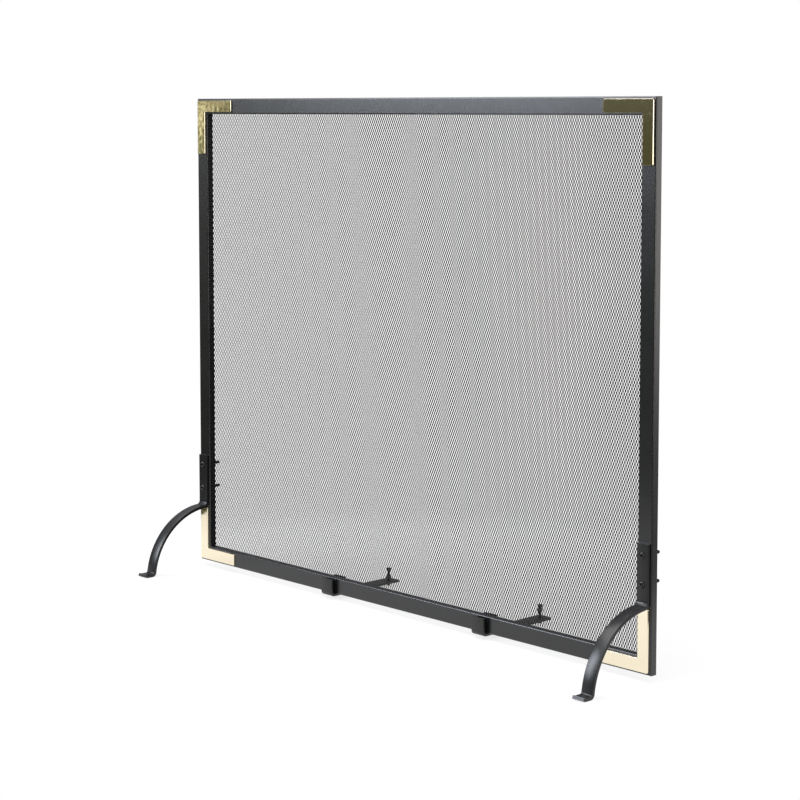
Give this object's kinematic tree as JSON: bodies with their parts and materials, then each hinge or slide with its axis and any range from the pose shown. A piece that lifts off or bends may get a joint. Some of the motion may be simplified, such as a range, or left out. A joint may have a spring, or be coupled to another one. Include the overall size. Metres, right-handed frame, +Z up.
{
  "type": "fireplace screen",
  "caption": "Flat single-panel fireplace screen: black steel frame with expanded mesh, brass corner plates, two swept front legs and sliding rear supports with levelling screws.",
  "frame": {"origin": "on the floor, under the middle of the whole object's box", "axes": "+X to the viewer's right along the rails, +Y to the fire (back), +Z up"},
  "size_m": [0.9906, 0.2736, 0.7937],
  "materials": {
    "frame_paint": "satin black powder coat on steel tube",
    "leg_paint": "satin black powder coat on bent flat bar",
    "support_paint": "satin black powder coat on flat bar",
    "mesh_paint": "black painted expanded steel mesh",
    "polished_brass": "polished and lacquered",
    "bolt_black": "black oxide",
    "screw_steel": "zinc plated"
  },
  "bodies": {
    "screen": {"bottom_rail": "frame_paint", "top_rail": "frame_paint", "left_stile": "frame_paint", "right_stile": "frame_paint", "mesh_panel": "mesh_paint", "bottom_left_corner_plate": "polished_brass", "bottom_left_rail_screw": "screw_steel", "bottom_left_stile_screw": "screw_steel", "bottom_right_corner_plate": "polished_brass", "bottom_right_rail_screw": "screw_steel", "bottom_right_stile_screw": "screw_steel", "top_right_corner_plate": "polished_brass", "top_right_rail_screw": "screw_steel", "top_right_stile_screw": "screw_steel", "top_left_corner_plate": "polished_brass", "top_left_rail_screw": "screw_steel", "top_left_stile_screw": "screw_steel", "left_front_leg": "leg_paint", "left_leg_upper_bolt": "bolt_black", "left_leg_upper_washer": "bolt_black", "left_leg_upper_nut": "bolt_black", "left_leg_lower_bolt": "bolt_black", "left_leg_lower_washer": "bolt_black", "left_leg_lower_nut": "bolt_black", "right_front_leg": "leg_paint", "right_leg_upper_bolt": "bolt_black", "right_leg_upper_washer": "bolt_black", "right_leg_upper_nut": "bolt_black", "right_leg_lower_bolt": "bolt_black", "right_leg_lower_washer": "bolt_black", "right_leg_lower_nut": "bolt_black"},
    "left_support": {"left_support_bar": "support_paint", "left_support_upstand": "support_paint"},
    "left_screw": {"left_levelling_screw": "bolt_black", "left_lock_nut": "bolt_black"},
    "right_support": {"right_support_bar": "support_paint", "right_support_upstand": "support_paint"},
    "right_screw": {"right_levelling_screw": "bolt_black", "right_lock_nut": "bolt_black"}
  },
  "joints": [
    {"name": "left_support_slide", "type": "slide", "parent": "screen", "child": "left_support", "axis": [1, 0, 0], "range_m": [-0.228, 0.148]},
    {"name": "right_support_slide", "type": "slide", "parent": "screen", "child": "right_support", "axis": [1, 0, 0], "range_m": [-0.16, 0.216]},
    {"name": "left_screw_travel", "type": "slide", "parent": "left_support", "child": "left_screw", "axis": [0, 0, 1], "range_m": [-0.003, 0.0055]},
    {"name": "right_screw_travel", "type": "slide", "parent": "right_support", "child": "right_screw", "axis": [0, 0, 1], "range_m": [-0.009, 0.0055]}
  ]
}
